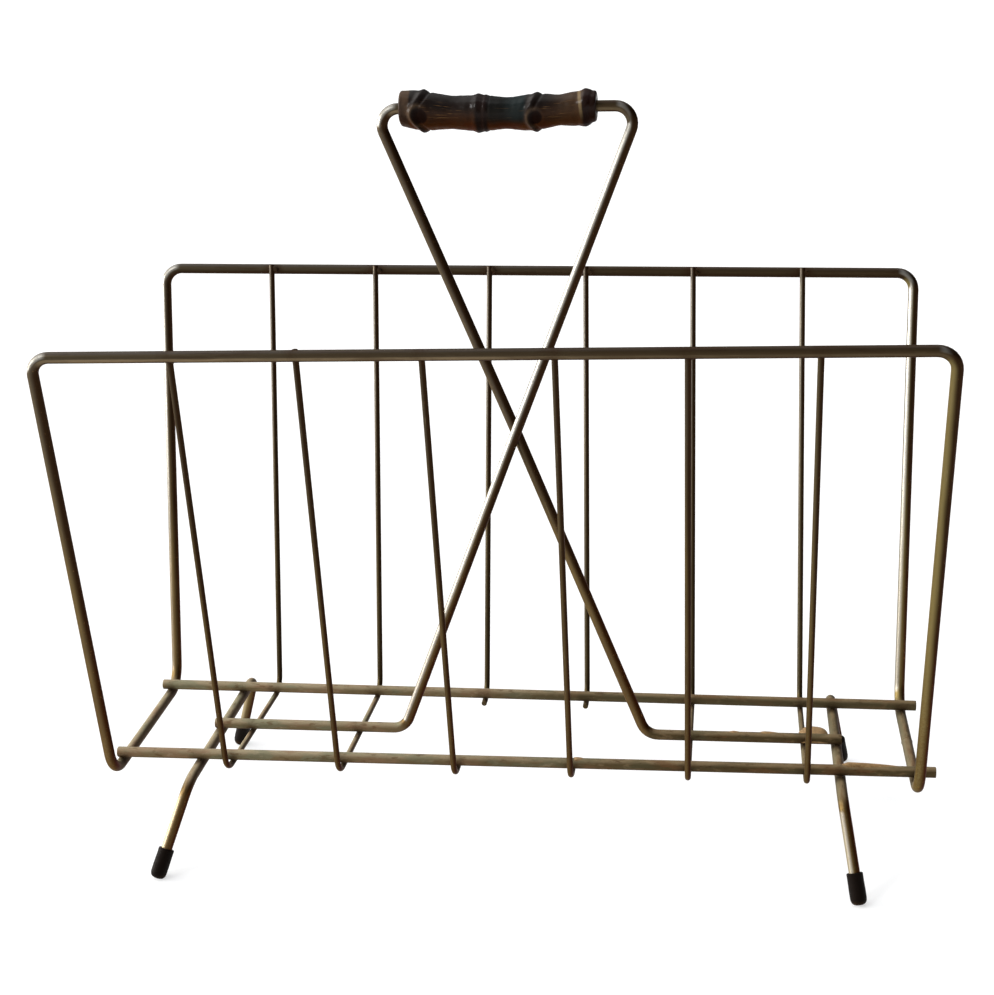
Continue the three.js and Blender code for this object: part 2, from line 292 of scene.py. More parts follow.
soft_sun("window", (-0.93, 0.02, 0.06), 36, 3.0, (1, 0.99, 0.96))
soft_sun("high window", (-0.8, 0.25, 0.53), 70, 1.6, (1, 0.99, 0.97))
soft_sun("small window", (-0.6, -0.44, 0.67), 13, 0.85, WHITE)
soft_sun("overhead", (-0.1, 0.4, 0.9), 70, 1.1, (0.96, 0.98, 1))

# %% [markdown]
# ## Finding the centre lines
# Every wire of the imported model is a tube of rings: one ring at each end, and one at every
# few degrees of a bend. Walking from the end cap, the neighbours of one ring are the next
# ring. The middle of each ring is a point on the wire's centre line, so the smooth wires
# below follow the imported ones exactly, and no size is written down twice.

# %% Walk the rings of a packed wire
SAME_WAY = 0.99999
ROUND_WITHIN = 0.02


def find_cap(bm, sides):
    """The corners of one flat end of the tube."""
    for start in bm.faces:
        flat, edge = {start}, [start]
        while edge:
            face = edge.pop()
            for beside in {f for e in face.edges for f in e.link_faces} - flat:
                if beside.normal.dot(start.normal) > SAME_WAY:
                    flat.add(beside)
                    edge.append(beside)
        corners = {v for f in flat for v in f.verts}
        centre = sum((v.co for v in corners), Vector()) / len(corners)
        reach = [(v.co - centre).length for v in corners]
        if len(corners) == sides and max(reach) - min(reach) < ROUND_WITHIN * max(reach):
            return corners


def centre_line(node, sides):
    """The stations of a packed wire as (point, direction) and its radius, in metres."""
    bm = bmesh.new()
    bm.from_mesh(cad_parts[node].data)
    bmesh.ops.remove_doubles(bm, verts=bm.verts, dist=1e-6)
    bm.normal_update()
    ring = find_cap(bm, sides)
    rings, seen = [], set()
    while ring:
        rings.append(np.array([v.co[:] for v in ring]))
        seen |= ring
        ring = {e.other_vert(v) for v in ring for e in v.link_edges} - seen
    bm.free()
    points = [Vector(r.mean(0)) for r in rings]
    directions = []
    for i, r in enumerate(rings):
        across = Vector(np.linalg.svd(r - r.mean(0))[2][2])
        onward = points[min(i + 1, len(points) - 1)] - points[max(i - 1, 0)]
        directions.append(across if across.dot(onward) > 0 else -across)
    corner_radius = float(np.linalg.norm(rings[0] - rings[0].mean(0), axis=1).mean())
    # A round section of the same area as the many-cornered one.
    radius = corner_radius * (sides * sin(2 * pi / sides) / (2 * pi)) ** 0.5
    return list(zip(points, directions)), radius


# %% Find the centre line of every wire
THICK_SIDES, THIN_SIDES = 12, 10
thick = ["rim_frame", "floor_rail_front", "floor_rail_rear", "handle_wire",
         "foot_wire_left", "foot_wire_right"]
thin = ["basket_wire_1", "basket_wire_2", "basket_wire_5", "basket_wire_6",
        "front_wire_3", "front_wire_4", "rear_wire_3", "rear_wire_4"]
lines = {name: centre_line(name, THICK_SIDES) for name in thick}
lines.update({name: centre_line(name, THIN_SIDES) for name in thin})
for name, (stations, radius) in lines.items():
    print(name, len(stations), "stations, radius", round(radius / MM, 2), "mm")

# %% [markdown]
# ## A smooth wire
# Between two rings of a bend the centre line is an arc, so it is filled in with a curve that
# keeps the directions of both. The tube around it gets many sides, and its cut ends get a
# small rounded edge, because a sawn wire is never left sharp. Each corner of the mesh keeps
# the place that it had in the straight wire before it was bent. The finish uses that place,
# so its streaks follow the wire round every bend.

# %% Fill in the bends
STRAIGHT_STEP = 5 * MM
BEND_STEP = 1.2 * MM
BENT = 0.002


def fill_in(stations):
    """The same line with points near enough together to look round."""
    filled = [stations[0]]
    for (start, leaving), (end, arriving) in zip(stations, stations[1:]):
        chord = (end - start).length
        bent = leaving.angle(arriving) > BENT
        pieces = max(1, round(chord / (BEND_STEP if bent else STRAIGHT_STEP)))
        for i in range(1, pieces + 1):
            # A cubic curve through both points that keeps both directions.
            t = i / pieces
            point = start.lerp(end, t * t * (3 - 2 * t))
            point += (t * (1 - t) ** 2 * leaving - t * t * (1 - t) * arriving) * chord
            filled.append((point, leaving.lerp(arriving, t).normalized()))
    return filled


smooth = {name: fill_in(stations) for name, (stations, _) in lines.items()}
print("the rim's line has", len(smooth["rim_frame"]), "points")

# %% Make a piece of points and faces
def store(data, name, values):
    """Keeps a number or a vector for each point of a mesh, for its finish to read."""
    values = np.array(values, np.float32)
    kind, field = ("FLOAT_VECTOR", "vector") if values.ndim == 2 else ("FLOAT", "value")
    data.attributes.new(name, kind, "POINT").data.foreach_set(field, values.ravel())


def mesh_piece(name, points, faces, places=None):
    """A smooth mesh object. places are its points before bending, for the finish to use."""
    data = bpy.data.meshes.new(name)
    data.from_pydata([tuple(p) for p in points], [], faces)
    data.update()
    data.shade_smooth()
    store(data, "laid_out", places or points)
    return add_object(name, data)


def turns(sides):
    """The angles of so many corners round a circle."""
    return [2 * pi * k / sides for k in range(sides)]


def band(faces, i, j, sides):
    """Adds the faces between ring i and ring j of a surface with so many sides."""
    for k in range(sides):
        n = (k + 1) % sides
        faces.append((i * sides + k, i * sides + n, j * sides + n, j * sides + k))


# %% Build a tube along a centre line
EDGE_ROUND = 0.35 * MM


def tube(name, stations, radius, sides, wire_number):
    """A round wire along the stations, with rounded edges at its two cut ends."""
    rings = [(point, heading, radius) for point, heading in stations]
    for end, inward in ((0, 1), (-1, -1)):
        point, heading = stations[end]
        rounded = [(point + heading * inward * EDGE_ROUND * (1 - cos(a)), heading,
                    radius - EDGE_ROUND * (1 - sin(a))) for a in (0, pi / 6, pi / 3)]
        rings[end] = (point + heading * inward * EDGE_ROUND, heading, radius)
        rings = rounded + rings if end == 0 else rings + rounded[::-1]
    across = rings[0][1].orthogonal().normalized()
    points, places, rise, faces = [], [], [], []
    travelled = 0
    for i, (point, heading, reach) in enumerate(rings):
        if i:
            travelled += (point - rings[i - 1][0]).length
            across = (across - heading * across.dot(heading)).normalized()
            band(faces, i - 1, i, sides)
        beside = heading.cross(across)
        for angle in turns(sides):
            points.append(point + (across * cos(angle) + beside * sin(angle)) * reach)
            # Each wire is laid out a metre further on, so no two have the same streaks.
            places.append((travelled + wire_number, cos(angle) * reach, sin(angle) * reach))
            rise.append(abs(heading.z))
    for ring, order in ((0, -1), (len(rings) - 1, 1)):
        middle = len(points)
        points.append(rings[ring][0])
        places.append((places[ring * sides][0], 0, 0))
        rise.append(abs(rings[ring][1].z))
        rim = [ring * sides + k for k in range(sides)][::order]
        faces += [(rim[k], rim[(k + 1) % sides], middle) for k in range(sides)]
    piece = mesh_piece(name, points, faces, places)
    store(piece.data, "steepness", rise)
    return piece


# %% Build the wires
SMOOTH_THICK_SIDES, SMOOTH_THIN_SIDES = 28, 20
wires = {}
for number, (name, stations) in enumerate(smooth.items()):
    sides = SMOOTH_THICK_SIDES if name in thick else SMOOTH_THIN_SIDES
    wires[name] = tube("smooth_" + name, stations, lines[name][1], sides, number)
    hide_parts(name)
    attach(wires[name], "frame")
print(len(wires), "wires,", sum(len(w.data.vertices) for w in wires.values()), "points")

# %% [markdown]
# ## Welds
# Where two wires touch, they were pressed together between electrodes until the metal ran.
# That leaves a small neck. Each neck is a ring of short struts from the skin of one wire to
# that of the other, drawn in a little at its waist, so it fits wires of any gauge at any
# angle. The places are found by measuring where two centre lines come nearest.

# %% Sample the wires
TOUCH = 0.9 * MM
SAMPLE_STEP = 0.5 * MM


def sampled(name):
    """Closely spaced points along a wire, with the direction at each."""
    points, headings = [], []
    for (start, leaving), (end, _) in zip(smooth[name], smooth[name][1:]):
        steps = max(1, int((end - start).length / SAMPLE_STEP))
        for i in range(steps):
            points.append(start.lerp(end, i / steps))
            headings.append(leaving)
    return np.array(points), headings


samples = {name: sampled(name) for name in smooth}
print(sum(len(points) for points, _ in samples.values()), "sampled points")

# %% Find where the wires touch
def contacts(a, b):
    """Each place where wires a and b touch, as the nearest point and heading of both."""
    (pa, ha), (pb, hb) = samples[a], samples[b]
    reach = lines[a][1] + lines[b][1] + TOUCH
    gaps = np.linalg.norm(pa[:, None] - pb[None], axis=2)
    nearest = gaps.min(1)
    found, i = [], 0
    while i < len(pa):
        if nearest[i] > reach:
            i += 1
            continue
        j = i
        while j < len(pa) and nearest[j] <= reach:
            j += 1
        best = i + int(nearest[i:j].argmin())
        other = int(gaps[best].argmin())
        found.append((Vector(pa[best]), ha[best], Vector(pb[other]), hb[other]))
        i = j
    return found


joined = [(a, b, *contact) for a, b in combinations(smooth, 2) for contact in contacts(a, b)]
print(len(joined), "welds:", ", ".join(f"{a} on {b}" for a, b, *_ in joined))

# %% Build the necks
NECK_SPOKES, NECK_ROWS = 28, 7
SKIN_SINK = 0.12 * MM
NECK_WIDTH, NECK_UNEVEN, NECK_WAIST = 0.62, 0.12, 0.45


def neck(a, b, pa, ha, pb, hb, seed):
    """The points and faces of one weld between wires a and b."""
    ra, rb = lines[a][1], lines[b][1]
    away = (pb - pa).normalized()
    # Across a the neck may reach as far as wire a is wide, and the same for b.
    axis_a = (ha - away * ha.dot(away)).normalized()
    axis_b = (hb - away * hb.dot(away)).normalized()
    points, faces = [], []
    for angle in turns(NECK_SPOKES):
        spoke = axis_a * cos(angle) + away.cross(axis_a) * sin(angle)
        off_a = max(abs(spoke.dot(away.cross(axis_a))), 1e-6)
        off_b = max(abs(spoke.dot(away.cross(axis_b))), 1e-6)
        wave = noise.noise(Vector((cos(angle), sin(angle), seed)) * 1.7)
        share = NECK_WIDTH + NECK_UNEVEN * wave
        reach = ((off_a / (ra * share)) ** 3 + (off_b / (rb * share)) ** 3) ** (-1 / 3)
        foot = pa + spoke * reach + away * ((ra ** 2 - (reach * off_a) ** 2) ** 0.5 - SKIN_SINK)
        head = pb + spoke * reach - away * ((rb ** 2 - (reach * off_b) ** 2) ** 0.5 - SKIN_SINK)
        height = (head - foot).length
        for row in range(NECK_ROWS):
            t = row / (NECK_ROWS - 1)
            points.append(foot.lerp(head, t) - spoke * NECK_WAIST * height * sin(pi * t) ** 0.7)
    for k in range(NECK_SPOKES):
        n = (k + 1) % NECK_SPOKES
        for row in range(NECK_ROWS - 1):
            faces.append((k * NECK_ROWS + row, n * NECK_ROWS + row,
                          n * NECK_ROWS + row + 1, k * NECK_ROWS + row + 1))
    faces.append([k * NECK_ROWS for k in reversed(range(NECK_SPOKES))])
    faces.append([k * NECK_ROWS + NECK_ROWS - 1 for k in range(NECK_SPOKES)])
    return points, faces


def together(parts):
    """The points and faces of several parts as those of one mesh."""
    all_points, all_faces = [], []
    for points, faces in parts:
        all_faces += [[i + len(all_points) for i in face] for face in faces]
        all_points += points
    return all_points, all_faces


# %% [markdown]
# ## Spilled metal
# Some joints got more metal than they needed. A small knob stands beside the upper end of each
# thin wire, and the brazing rod left larger lumps near the right foot. A lump is a dented ball
# that can run out to the right in a long thin tail. Each sits half sunk in the wire that
# carries it, so its place is given from the middle of that wire.

# %% Shape a lump
LUMP_SPOKES, LUMP_ROWS = 28, 16


def lump(centre, radii, seed, tail=1.0, dents=0.2):
    """The points and faces of one lump, in mm. tail is how much longer its right end is."""
    centre, radii = Vector(centre), Vector(radii)
    points, faces = [(centre - Vector((radii.x, 0, 0))) * MM], []
    for row in range(1, LUMP_ROWS):
        polar = pi * row / LUMP_ROWS
        for angle in turns(LUMP_SPOKES):
            ball = Vector((-cos(polar), sin(polar) * cos(angle), sin(polar) * sin(angle)))
            size = 1 + dents * noise.noise(ball * 1.6 + Vector((seed * 7.3, 0, 0)))
            if ball.x > 0:
                ball.yz *= (1 - ball.x) ** 0.3 if tail > 1 else 1
                ball.x *= tail
            points.append((centre + ball * size * radii) * MM)
    points.append((centre + Vector((radii.x * tail, 0, 0))) * MM)
    last = len(points) - 1
    for k in range(LUMP_SPOKES):
        n = (k + 1) % LUMP_SPOKES
        faces.append((0, 1 + n, 1 + k))
        for row in range(LUMP_ROWS - 2):
            a, b = 1 + row * LUMP_SPOKES, 1 + (row + 1) * LUMP_SPOKES
            faces.append((a + k, a + n, b + n, b + k))
        a = 1 + (LUMP_ROWS - 2) * LUMP_SPOKES
        faces.append((a + k, a + n, last))
    return points, faces


# %% Set a knob at the upper end of each thin wire
UPPER_PART = 200 * MM
knobs = []
for number, name in enumerate(thin):
    for point, _ in (lines[name][0][0], lines[name][0][-1]):
        if point.z > UPPER_PART:
            inward = 1 if point.y < 0 else -1
            spot = point / MM + Vector((1.3, inward * 0.3, -2.2 - 0.5 * sin(number)))
            knobs.append(lump(spot, (1.9, 1.35, 1.7 + 0.3 * cos(number)), number + inward * 0.3))
necks = [neck(*contact, seed) for seed, contact in enumerate(joined)]
welds = mesh_piece("welds", *together(necks + knobs))
print(len(necks), "necks and", len(knobs), "knobs")

# %% Drop the lumps of braze
FLOOR_WIRES_BELOW = 60 * MM
LUMP_DENTS = 0.16
# Each lump: its wire, its place along x, how far it lies from the middle of that wire in y
# and z, its three radii and the length of its tail.
lump_list = (("handle_wire", 148.6, (7.0, -0.9), (7.4, 7.6, 3.2), 1),
             ("handle_wire", 148.0, (-1.3, -1.0), (8.0, 1.7, 1.0), 1),
             ("handle_wire", 124.0, (0.4, 1.7), (3.6, 1.8, 1.3), 3),
             ("handle_wire", 108.0, (0.3, 1.8), (2.6, 1.6, 1.1), 2),
             ("floor_rail_front", 163.4, (0.6, 1.5), (4.0, 2.1, 2.3), 9),
             ("floor_rail_front", 32.6, (0.2, 1.7), (2.7, 1.9, 1.3), 2))


def on_wire(name, x):
    """The middle of a wire of the floor at a place along x, in mm."""
    low_part = [point / MM for point, _ in smooth[name] if point.z < FLOOR_WIRES_BELOW]
    return min(low_part, key=lambda point: abs(point.x - x))


braze_parts = []
for seed, (name, x, (y_off, z_off), radii, tail) in enumerate(lump_list):
    carrier = on_wire(name, x)
    print("lump on", name, "at", [round(c, 1) for c in carrier])
    centre = (x, carrier.y + y_off, carrier.z + z_off)
    braze_parts.append(lump(centre, radii, seed, tail, LUMP_DENTS))
braze = mesh_piece("braze_lumps", *together(braze_parts))

# %% [markdown]
# The heat of a weld darkens the plating around it. Every point stores how near it lies to a
# weld, for the finish to read.

# %% Mark the heat of the welds
HEAT_REACH = 7 * MM
weld_places = np.array([(pa + pb) / 2 for _, _, pa, _, pb, _ in joined])


def mark_heat(piece):
    """Stores how near each point of a piece lies to a weld, 1 at it and falling off along it."""
    points = np.array([v.co for v in piece.data.vertices])
    nearest = np.linalg.norm(points[:, None] - weld_places[None], axis=2).min(1)
    store(piece.data, "near_weld", np.exp(-((nearest / HEAT_REACH) ** 2)))


for piece in [*wires.values(), welds]:
    mark_heat(piece)
for piece in (welds, braze):
    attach(piece, "frame")
print(len(weld_places), "warm places")

# %% [markdown]
# ## The seam of the rim
# The rim is one wire bent into a loop, and its two ends were welded butt to butt on the right
# floor crossing. The weld was filed, which leaves a low ring around the wire.

# %% Turn a profile around an axis
def turned(name, origin, axis, profile, sides, uneven=0):
    """A surface turned around an axis from (place along it, radius) pairs."""
    across = axis.orthogonal().normalized()
    beside = axis.cross(across)
    points, faces = [], []
    for along, reach in profile:
        for angle in turns(sides):
            out = across * cos(angle) + beside * sin(angle)
            wave = noise.noise(Vector((cos(angle) * 1.6, sin(angle) * 1.6, along * 700)))
            points.append(origin + axis * along + out * reach * (1 + uneven * wave))
    for i in range(len(profile) - 1):
        band(faces, i, i + 1, sides)
    faces.append(list(range(sides))[::-1])
    faces.append([(len(profile) - 1) * sides + k for k in range(sides)])
    return mesh_piece(name, points, faces)


# %% Ring the seam
SEAM_GAP = 0.3 * MM
SEAM_SIDES = 32
SEAM_UNEVEN = 0.03
# Each row: a place along the wire and how far the bead stands above the wire's skin, in mm.
SEAM_PROFILE = ((-0.9, -0.3), (-0.8, 0.0), (-0.5, 0.12), (-0.1, 0.2),
                (0.1, 0.2), (0.5, 0.12), (0.8, 0.0), (0.9, -0.3))
rim_start, rim_heading = lines["rim_frame"][0][0]
rim_radius = lines["rim_frame"][1]
bead = [(place * MM, rim_radius + rise * MM) for place, rise in SEAM_PROFILE]
seam_middle = rim_start - rim_heading * (SEAM_GAP / 2)
seam = turned("rim_seam_weld", seam_middle, rim_heading, bead, SEAM_SIDES, SEAM_UNEVEN)
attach(seam, "frame")
print("seam at", [round(c / MM, 1) for c in seam_middle])

# %% [markdown]
# ## Caps
# Each foot wears a moulded rubber cup. It swells a little where the end of the wire fills it
# and is rounded below. Standing has worn a flat on the lower edge, so the points that would
# pass into the floor are brought up to it.

# %% Turn the four caps
CAP_SIDES = 40
CAP_BELOW_TIP = 2.7 * MM
# From the middle of the sole, up the outside and into the mouth: place and radius in mm.
CAP_PROFILE = ((0, 0.35), (0, 1.0), (0.08, 1.75), (0.45, 2.65), (1.1, 3.35), (2.0, 3.75),
               (3.0, 3.9), (6, 3.95), (9, 3.9), (12, 3.85), (13.6, 3.87), (14.3, 3.9),
               (14.75, 3.82), (14.97, 3.6), (15.0, 3.3), (14.9, 3.05), (14.5, 2.95), (13.2, 2.95))
cap_profile = [(place * MM, reach * MM) for place, reach in CAP_PROFILE]
caps = []
for side in ("left", "right"):
    stations = lines["foot_wire_" + side][0]
    for (tip, heading), end in ((stations[0], "front"), (stations[-1], "rear")):
        down_leg = -heading if end == "front" else heading
        name = f"foot_cap_{end}_{side}"
        base = tip + down_leg * CAP_BELOW_TIP
        cap = turned("rubber_" + name, base, -down_leg, cap_profile, CAP_SIDES)
        for vertex in cap.data.vertices:
            vertex.co.z = max(vertex.co.z, 0)
        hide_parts(name)
        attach(cap, "frame")
        caps.append(cap)
print(len(caps), "caps")

# %% [markdown]
# ## The grip
# The grip is a length of bamboo root. Its skin draws in between the nodes, and at each node it
# swells to a ridge with a groove beside it, where a sheath grew. Two dark oval scars mark
# where buds sat. A turned shape would be too even, so the skin is a grid of points around a
# line that sags, each moved by the nodes, the scars and a little noise.

# %% Find the bar and the grip's place on it
BAR_ABOVE = 350 * MM
handle_stations = lines["handle_wire"][0]
high_runs = [run for run in zip(handle_stations, handle_stations[1:])
             if (run[0][0].z + run[1][0].z) / 2 > BAR_ABOVE]
bar_start, bar_end = max(high_runs, key=lambda run: (run[1][0] - run[0][0]).length)
bar_axis = (bar_end[0] - bar_start[0]).normalized()
if bar_axis.x < 0:
    bar_axis = -bar_axis
along_bar = [v.co.dot(bar_axis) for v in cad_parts["bamboo_grip"].data.vertices]
grip_length = max(along_bar) - min(along_bar)
to_bar = bar_start[0] - bar_axis * bar_start[0].dot(bar_axis)
grip_middle = to_bar + bar_axis * (max(along_bar) + min(along_bar)) / 2
grip_up = (Vector((0, 0, 1)) - bar_axis * bar_axis.z).normalized()
grip_front = bar_axis.cross(grip_up)
if grip_front.y > 0:
    grip_front = -grip_front
print("grip", round(grip_length / MM, 1), "mm long, middle at",
      [round(c / MM, 1) for c in grip_middle])

# %% List what the skin does along the grip
LARGEST_RADIUS = 10 * MM
GRIP_BOW = 2.7 * MM
BORE_RADIUS = 3.1 * MM
BORE_MOUTH = 0.25 * MM
# The width of the skin, as a share of the largest, at each share of the length.
place_shares = (0, 0.06, 0.105, 0.125, 0.15, 0.27, 0.385, 0.41, 0.435,
                0.555, 0.67, 0.695, 0.72, 0.805, 0.93, 0.955, 0.975, 1)
width_shares = (0.8, 0.875, 0.94, 0.96, 0.9, 0.75, 0.85, 0.9, 0.84,
                0.725, 0.85, 0.9, 0.83, 0.715, 0.81, 0.855, 0.78, 0.66)
# Each node: its share of the length, how far its ridge bends to the left in front, and its
# height and width in millimetres.
nodes = ((0.124, 0.058, 0.6, 1.3), (0.4, 0.004, 0.35, 1.3), (0.438, 0.002, 0.2, 0.9),
         (0.7, 0.046, 0.5, 1.2), (0.945, 0.012, 0.35, 1.5))
# Each scar: its share of the length, its angle from the top in degrees, and half its length
# and half its width in millimetres.
scars = ((0.11, 102, 4.5, 4.5), (0.698, 104, 3.7, 4.1))
print(len(nodes), "nodes and", len(scars), "scars")

# %% Raise the skin of the bamboo
def bump_at(off, width, power=2):
    """1 at the middle and falling off on both sides. A higher power makes it flatter."""
    return exp(-((off / width) ** power))


def left_of(share, middle):
    """1 to the left of a place along the grip, 0 to the right of it and smooth in between."""
    return 1 / (1 + exp((share - middle) * 90))


def node_off(share, angle, node, bend):
    """How far a point of the skin lies to the right of the ridge of a node."""
    in_front = bump_at(angle - radians(95), radians(48))
    return (share - node + bend * in_front) * grip_length


def scar_spot(share, angle, reach, scar):
    """How far a point of the skin lies from the middle of a scar, 1 at its rim."""
    place, degrees, length, width = scar
    along = (share - place) * grip_length / (length * MM)
    around = ((angle - radians(degrees) + pi) % (2 * pi) - pi) * reach / (width * MM)
    return hypot(along, around)


def skin(share, angle):
    """The radius of the bamboo at a share of its length and an angle from the top."""
    near = [np.interp(share + d, place_shares, width_shares) for d in (-0.02, -0.01, 0, 0.01, 0.02)]
    reach = float(sum(near)) / len(near) * LARGEST_RADIUS
    for node, bend, height, width in nodes:
        off = node_off(share, angle, node, bend)
        reach += height * MM * bump_at(off, width * MM)
        reach -= 0.8 * height * MM * bump_at(off - 2.1 * width * MM, 0.55 * width * MM)
        reach -= 0.4 * height * MM * bump_at(off + 2.3 * width * MM, width * MM)
    for scar in scars:
        spot = scar_spot(share, angle, reach, scar)
        rim_height = 0.15 + 0.85 * left_of(share, scar[0])
        reach += 0.4 * MM * bump_at(spot - 1, 0.25) * rim_height
        reach -= 0.6 * MM * bump_at(spot, 0.8, 4)
    for height, along, round_it in ((0.4, 9, 1.2), (0.12, 40, 3), (0.07, 6, 9)):
        spot = Vector((share * along, cos(angle) * round_it, sin(angle) * round_it))
        reach += height * MM * noise.noise(spot)
    return reach


def grip_point(share, angle, reach, bow=GRIP_BOW):
    """A point of the grip, whose middle line sags by bow."""
    sag = bow * (1 - (2 * share - 1) ** 2)
    middle_here = grip_middle + bar_axis * (share - 0.5) * grip_length - grip_up * sag
    return middle_here + (grip_up * cos(angle) + grip_front * sin(angle)) * reach


# %% Lay the grid of the skin
GRIP_ROWS, GRIP_SPOKES, EDGE_ROWS = 300, 96, 6
GRIP_EDGE = 0.9 * MM
# The radius at which the grid is laid out flat for the finish, outside and in the bore.
SKIN_GRID, BORE_GRID = 9 * MM, 3 * MM
points, places, marks = [], [], []
edge = GRIP_EDGE / grip_length
# Each row: its share of the length and how far its edge is rounded off.
profile_rows = [(edge * (1 - cos(a)), GRIP_EDGE * (1 - sin(a)))
                for a in np.linspace(0, pi / 2, EDGE_ROWS)]
profile_rows += [(share, 0) for share in np.linspace(edge, 1 - edge, GRIP_ROWS)[1:-1]]
profile_rows += [(1 - share, cut) for share, cut in profile_rows[EDGE_ROWS - 1::-1]]
for share, cut in profile_rows:
    for angle in turns(GRIP_SPOKES):
        points.append(grip_point(share, angle, skin(share, angle) - cut))
        places.append((share * grip_length, cos(angle) * SKIN_GRID, sin(angle) * SKIN_GRID))
        spot, scar_place = min((scar_spot(share, angle, SKIN_GRID, scar), scar[0])
                               for scar in scars)
        rim = bump_at(spot - 1.1, 0.2) * left_of(share, scar_place)
        ring = max(bump_at(node_off(share, angle, node, bend) - 0.6 * width * MM, 1.3 * width * MM)
                   for node, bend, _, width in nodes)
        marks.append((bump_at(spot, 0.9, 4), rim, ring))
# The bore is straight, so its rows keep to the bar, and its two mouths are a little wider.
bore_shares = (1.0, 0.99, 0.75, 0.5, 0.25, 0.01, 0.0)
for share in bore_shares:
    for angle in turns(GRIP_SPOKES):
        reach = BORE_RADIUS + (BORE_MOUTH if share in (0.0, 1.0) else 0)
        points.append(grip_point(share, angle, reach, 0))
        places.append((share * grip_length, cos(angle) * BORE_GRID, sin(angle) * BORE_GRID))
        marks.append((0, 0, 0))

# %% Join the grid
row_count = len(profile_rows) + len(bore_shares)
faces = []
for i in range(row_count):
    j = (i + 1) % row_count
    for k in range(GRIP_SPOKES):
        n = (k + 1) % GRIP_SPOKES
        faces.append((i * GRIP_SPOKES + k, j * GRIP_SPOKES + k,
                      j * GRIP_SPOKES + n, i * GRIP_SPOKES + n))
grip = mesh_piece("bamboo_root", points, faces, places)
store(grip.data, "marks", marks)
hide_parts("bamboo_grip")
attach(grip, "grip")
print("bamboo of", len(points), "points")

# %% [markdown]
# ## Aged brass
# The wires are steel that was plated with brass. The plating has turned olive and brown in
# long patches and is dusty on its upper sides. Painted highlights, painted shade and a painted
# sheen stand in for the light on it. A painted picture could carry all that, but it would have
# to be stretched round every bend. So the finish is worked out from noise that is laid out
# along the straight wire, and from where a point lies and which way it faces.

# %% Read a point's place and direction
WARM_SHEEN = (0.5, 0.4, 0.3)
# The outputs of an Attribute node and of a Geometry node that are read below.
AS_VECTOR, AS_NUMBER = 1, 2
POSITION, NORMAL = 0, 1


def stored(tree, name, output=AS_VECTOR):
    """The attribute of that name, as the mesh keeps it in each point."""
    return make_node(tree, "Attribute", {"attribute_name": name}, output)


brass, tree = new_finish(
    "aged_brass", Specular_IOR_Level=0.25, Specular_Tint=WARM_SHEEN)
laid = stored(tree, "laid_out")
heated = stored(tree, "near_weld", AS_NUMBER)
steep = stored(tree, "steepness", AS_NUMBER)
place = make_node(tree, "NewGeometry", output=POSITION)
sideways, depth, height = (place.part(i) for i in range(3))
facing = make_node(tree, "NewGeometry", output=NORMAL)
rightward, upward = facing.part(0), facing.part(2)
leftward = 0 - rightward
print("aged brass starts with", len(tree.nodes), "nodes")

# %% Lay out the patches
long_patch = laid.scaled(0.12, 1, 1).noise(4 * MM, 3, 0.6)
broad = laid.scaled(0.3, 1, 1).noise(22 * MM, 2, 0.5)
streaks = laid.scaled(0.05, 1, 1).noise(0.5 * MM, 2, 0.6)
speckle = laid.noise(0.9 * MM, 3, 0.7)
spots = laid.scaled(0.35, 1, 1).noise(2.4 * MM, 4, 0.6)
# 1 at the left end of the rack and 0 at the right. Colours painted lighter towards the left stand
# for painted light from the window.
left_part = (sideways + (broad - 0.5) * 0.25).between(120 * MM, -150 * MM)
low_down = height.between(200 * MM, 60 * MM)
near_floor = height.between(66 * MM, 56 * MM) * height.between(36 * MM, 42 * MM)
rear = depth.between(0, 20 * MM)
# The rear wires between the two rear arms, and the wires with a skin near their middle.
thin_rear = rear * sideways.between(160 * MM, 150 * MM) * sideways.between(-160 * MM, -150 * MM)
thin_wire = laid.scaled(0, 1, 1).length().between(2.2 * MM, 1.8 * MM)
print("with its patches it has", len(tree.nodes), "nodes")

# %% [markdown]
# The steep wires are olive. Painted shade makes the side of each that looks away from the
# window nearly black. Rust creeps up them from the floor, with flecks of a lighter brown, and
# the painted shade darkens it too. The line of each wire that faces the window and a little up
# gets a painted highlight.

# %% Colour the steep wires
plating = (broad + (long_patch - 0.5) * 0.5).between(0.35, 0.65)
lit_low = height.between(230 * MM, 60 * MM) * 0.4 + sideways.between(-130 * MM, -175 * MM) * 0.25
# Painted shade: the side of each steep wire away from the window, less of it low down and at the
# left end.
painted_shade_side = (rightward + (long_patch - 0.5) * 0.5 - lit_low).between(-0.85, 0.35)
rust = height.between(140 * MM, 60 * MM) * (0.3 + 0.7 * speckle.between(0.4, 0.6))
rust = rust * (0.65 - 0.5 * thin_rear) * (1 - 0.6 * rear)
flecks = laid.scaled(0.7, 1, 1).noise(0.75 * MM, 3, 0.6).between(0.64, 0.71)
steep_colour = painted(
    plating.tint(rgb(98, 82, 55), rgb(120, 101, 65)),
    (height.between(140 * MM, 240 * MM), 0.8, rgb(92, 83, 70)),
    (sideways.between(120 * MM, 190 * MM), 0.8, rgb(132, 117, 72)),
    (painted_shade_side, 1, low_down.tint(rgb(44, 28, 14), rgb(48, 21, 1))),
    (rust, 1, painted_shade_side.tint(rgb(98, 72, 40), rgb(62, 28, 2))),
    (flecks, 0.3 + 0.5 * low_down, rgb(138, 98, 52)))
print(len(tree.nodes), "nodes")
